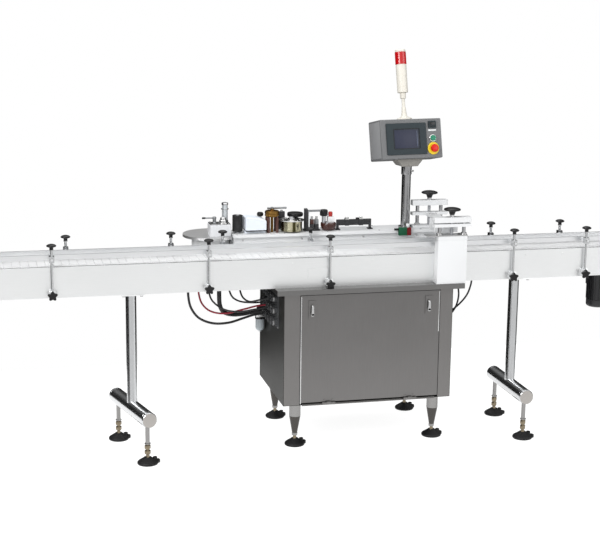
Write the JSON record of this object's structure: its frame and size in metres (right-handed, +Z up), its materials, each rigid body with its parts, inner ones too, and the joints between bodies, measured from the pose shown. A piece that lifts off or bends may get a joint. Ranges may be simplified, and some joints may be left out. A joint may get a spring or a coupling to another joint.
{
  "type": "bottle labeling machine",
  "caption": "Bottle labeling machine: a slat-chain conveyor on chromed T legs runs past a labeling deck and a press station above a steel cabinet, with a control box and signal tower on a post.",
  "frame": {"origin": "on the floor under the middle of the conveyor's length and of the machine's depth", "axes": "+X runs along the conveyor from the idler end to the driven end, +Y runs from the door to the back, +Z is up"},
  "size_m": [3.4, 0.7199, 1.93],
  "materials": {
    "grey_paint": "satin hammered grey",
    "door_paint": "smooth satin grey",
    "panel_dark": "satin dark grey",
    "table_paint": "satin light grey",
    "bright_steel": "polished",
    "brushed": "fine brushed",
    "conveyor_steel": "fine brushed, pale",
    "foot_rubber": "matt",
    "wear_plastic": "matt",
    "machined_steel": "machined",
    "cast_dark": "fine cast",
    "black_paint": "satin black",
    "knob_black": "semi-gloss",
    "guard_grey": "satin dark grey",
    "white_paint": "satin white",
    "disc_grey": "fine turned",
    "drum_brass": "dull",
    "roller_rubber": "matt",
    "brass": "satin",
    "brown_post": "satin brown",
    "lever_grey": "satin",
    "magazine_white": "semi-gloss",
    "press_white": "satin white",
    "press_black": "satin black",
    "box_paint": "fine satin grey",
    "bezel_grey": "matt with a dark screen",
    "meter_plastic": "matt",
    "button_green": "semi-gloss",
    "yellow_plastic": "semi-gloss",
    "stop_red": "semi-gloss",
    "cream_plastic": "semi-gloss",
    "lens_plastic": "semi-gloss, cream with a red lens",
    "connector_metal": "nickel plated",
    "filter_clear": "semi-gloss",
    "lead_black": "matt"
  },
  "bodies": {
    "machine": {"cabinet_frame": "grey_paint", "cabinet_panels": "panel_dark", "table_top": "table_paint", "cabinet_legs": "grey_paint", "cabinet_feet": "foot_rubber", "side_plate_front": "conveyor_steel", "side_plate_back": "conveyor_steel", "conveyor_cross_bars": "brushed", "wear_strips": "wear_plastic", "chain_carry_run": "brushed", "chain_return_run": "brushed", "chain_end_slats": "brushed", "drive_shaft": "machined_steel", "shaft_bearings": "cast_dark", "gear_box": "black_paint", "gear_motor": "black_paint", "rail_posts": "brushed", "rail_clamps": "machined_steel", "rail_knobs": "knob_black", "infeed_guard": "guard_grey", "t_legs": "bright_steel", "t_leg_feet": "foot_rubber", "deck_housing": "white_paint", "deck_plate": "white_paint", "round_table": "disc_grey", "shelf": "table_paint", "gum_roller_posts": "brown_post", "feed_box": "press_white", "label_magazine": "magazine_white", "station_brackets": "press_black", "sensor_bar": "press_black", "press_frame_back": "press_white", "press_frame_front": "press_white", "control_post": "machined_steel", "side_connectors": "connector_metal", "air_filter": "filter_clear", "leads": "lead_black"},
    "door_panel": {"door": "door_paint"},
    "latch_left_body": {"latch_left": "bright_steel"},
    "latch_right_body": {"latch_right": "bright_steel"},
    "idler_shaft_body": {"idler_shaft": "machined_steel"},
    "front_rail": {"guide_rail_front": "brushed"},
    "back_rail": {"guide_rail_back": "brushed"},
    "drum": {"label_drum": "drum_brass"},
    "roller": {"rubber_roller": "roller_rubber"},
    "gum_head": {"gum_roller_head": "brass"},
    "drum_wheel": {"drum_hand_wheel": "knob_black"},
    "lever": {"feed_lever": "lever_grey"},
    "screw_back": {"press_screw_back": "machined_steel"},
    "head_back": {"press_head_back": "press_black"},
    "screw_front": {"press_screw_front": "machined_steel"},
    "head_front": {"press_head_front": "press_black"},
    "control_head": {"control_box": "box_paint", "screen_bezel": "bezel_grey", "panel_meter": "meter_plastic", "stop_button_base": "yellow_plastic", "tower_base": "cream_plastic", "tower_lenses": "lens_plastic"},
    "start": {"start_button": "button_green"},
    "stop": {"stop_button": "stop_red"}
  },
  "joints": [
    {"name": "door_drop", "type": "hinge", "parent": "machine", "child": "door_panel", "pos_m": [0.28, -0.238, 0.224], "axis": [1, 0, 0], "range_deg": [0, 90]},
    {"name": "latch_left_turn", "type": "hinge", "parent": "door_panel", "child": "latch_left_body", "pos_m": [-0.01, -0.235, 0.676], "axis": [0, 1, 0], "range_deg": [0, 90]},
    {"name": "latch_right_turn", "type": "hinge", "parent": "door_panel", "child": "latch_right_body", "pos_m": [0.585, -0.235, 0.676], "axis": [0, 1, 0], "range_deg": [0, 90]},
    {"name": "idler_shaft_spin", "type": "hinge", "parent": "machine", "child": "idler_shaft_body", "pos_m": [-1.61925, -0.112, 0.89492], "axis": [0, 1, 0], "continuous": true},
    {"name": "front_rail_slide", "type": "slide", "parent": "machine", "child": "front_rail", "axis": [0, 1, 0], "range_m": [-0.02, 0.02]},
    {"name": "back_rail_slide", "type": "slide", "parent": "machine", "child": "back_rail", "axis": [0, 1, 0], "range_m": [-0.02, 0.004]},
    {"name": "drum_spin", "type": "hinge", "parent": "machine", "child": "drum", "pos_m": [-0.045, 0.08, 1.036], "axis": [0, 0, 1], "continuous": true},
    {"name": "roller_spin", "type": "hinge", "parent": "machine", "child": "roller", "pos_m": [-0.318, 0.088, 1.038], "axis": [0, 0, 1], "continuous": true},
    {"name": "gum_head_spin", "type": "hinge", "parent": "machine", "child": "gum_head", "pos_m": [-0.143, 0.088, 1.108], "axis": [0, 0, 1], "continuous": true},
    {"name": "hand_wheel_turn", "type": "hinge", "parent": "machine", "child": "drum_wheel", "pos_m": [-0.008, 0.158, 1.096], "axis": [0, 0, 1], "range_deg": [-360, 360]},
    {"name": "feed_lever_turn", "type": "hinge", "parent": "machine", "child": "lever", "pos_m": [-0.4325, 0.098, 1.0803], "axis": [0, 0, 1], "range_deg": [-40, 40]},
    {"name": "press_screw_back_turn", "type": "hinge", "parent": "machine", "child": "screw_back", "pos_m": [0.69, 0.114, 1.167], "axis": [0, 0, 1], "range_deg": [-2160, 2160]},
    {"name": "press_head_back_slide", "type": "slide", "parent": "machine", "child": "head_back", "axis": [0, 0, 1], "range_m": [-0.031, 0.031]},
    {"name": "press_screw_front_turn", "type": "hinge", "parent": "machine", "child": "screw_front", "pos_m": [0.69, -0.234, 1.137], "axis": [0, 0, 1], "range_deg": [-2160, 0]},
    {"name": "press_head_front_slide", "type": "slide", "parent": "machine", "child": "head_front", "axis": [0, 0, 1], "range_m": [-0.031, 0]},
    {"name": "control_box_swivel", "type": "hinge", "parent": "machine", "child": "control_head", "pos_m": [0.557, 0.098, 1.3343], "axis": [0, 0, 1], "range_deg": [-60, 60]},
    {"name": "start_button_press", "type": "slide", "parent": "control_head", "child": "start", "axis": [-0.1482, 0.9686, -0.1994], "range_m": [0, 0.004], "stiffness_N_per_m": 400, "springref_m": -0.001},
    {"name": "stop_button_press", "type": "slide", "parent": "control_head", "child": "stop", "axis": [-0.1482, 0.9686, -0.1994], "range_m": [0, 0.005], "stiffness_N_per_m": 600, "springref_m": -0.002}
  ],
  "couplings": [
    {"joint": "roller_spin", "follows": "drum_spin", "ratio": -2.0769},
    {"joint": "gum_head_spin", "follows": "drum_spin", "ratio": -1.5},
    {"joint": "press_head_back_slide", "follows": "press_screw_back_turn", "m_per_rad": 0.00079577},
    {"joint": "press_head_front_slide", "follows": "press_screw_front_turn", "m_per_rad": 0.00079577}
  ]
}
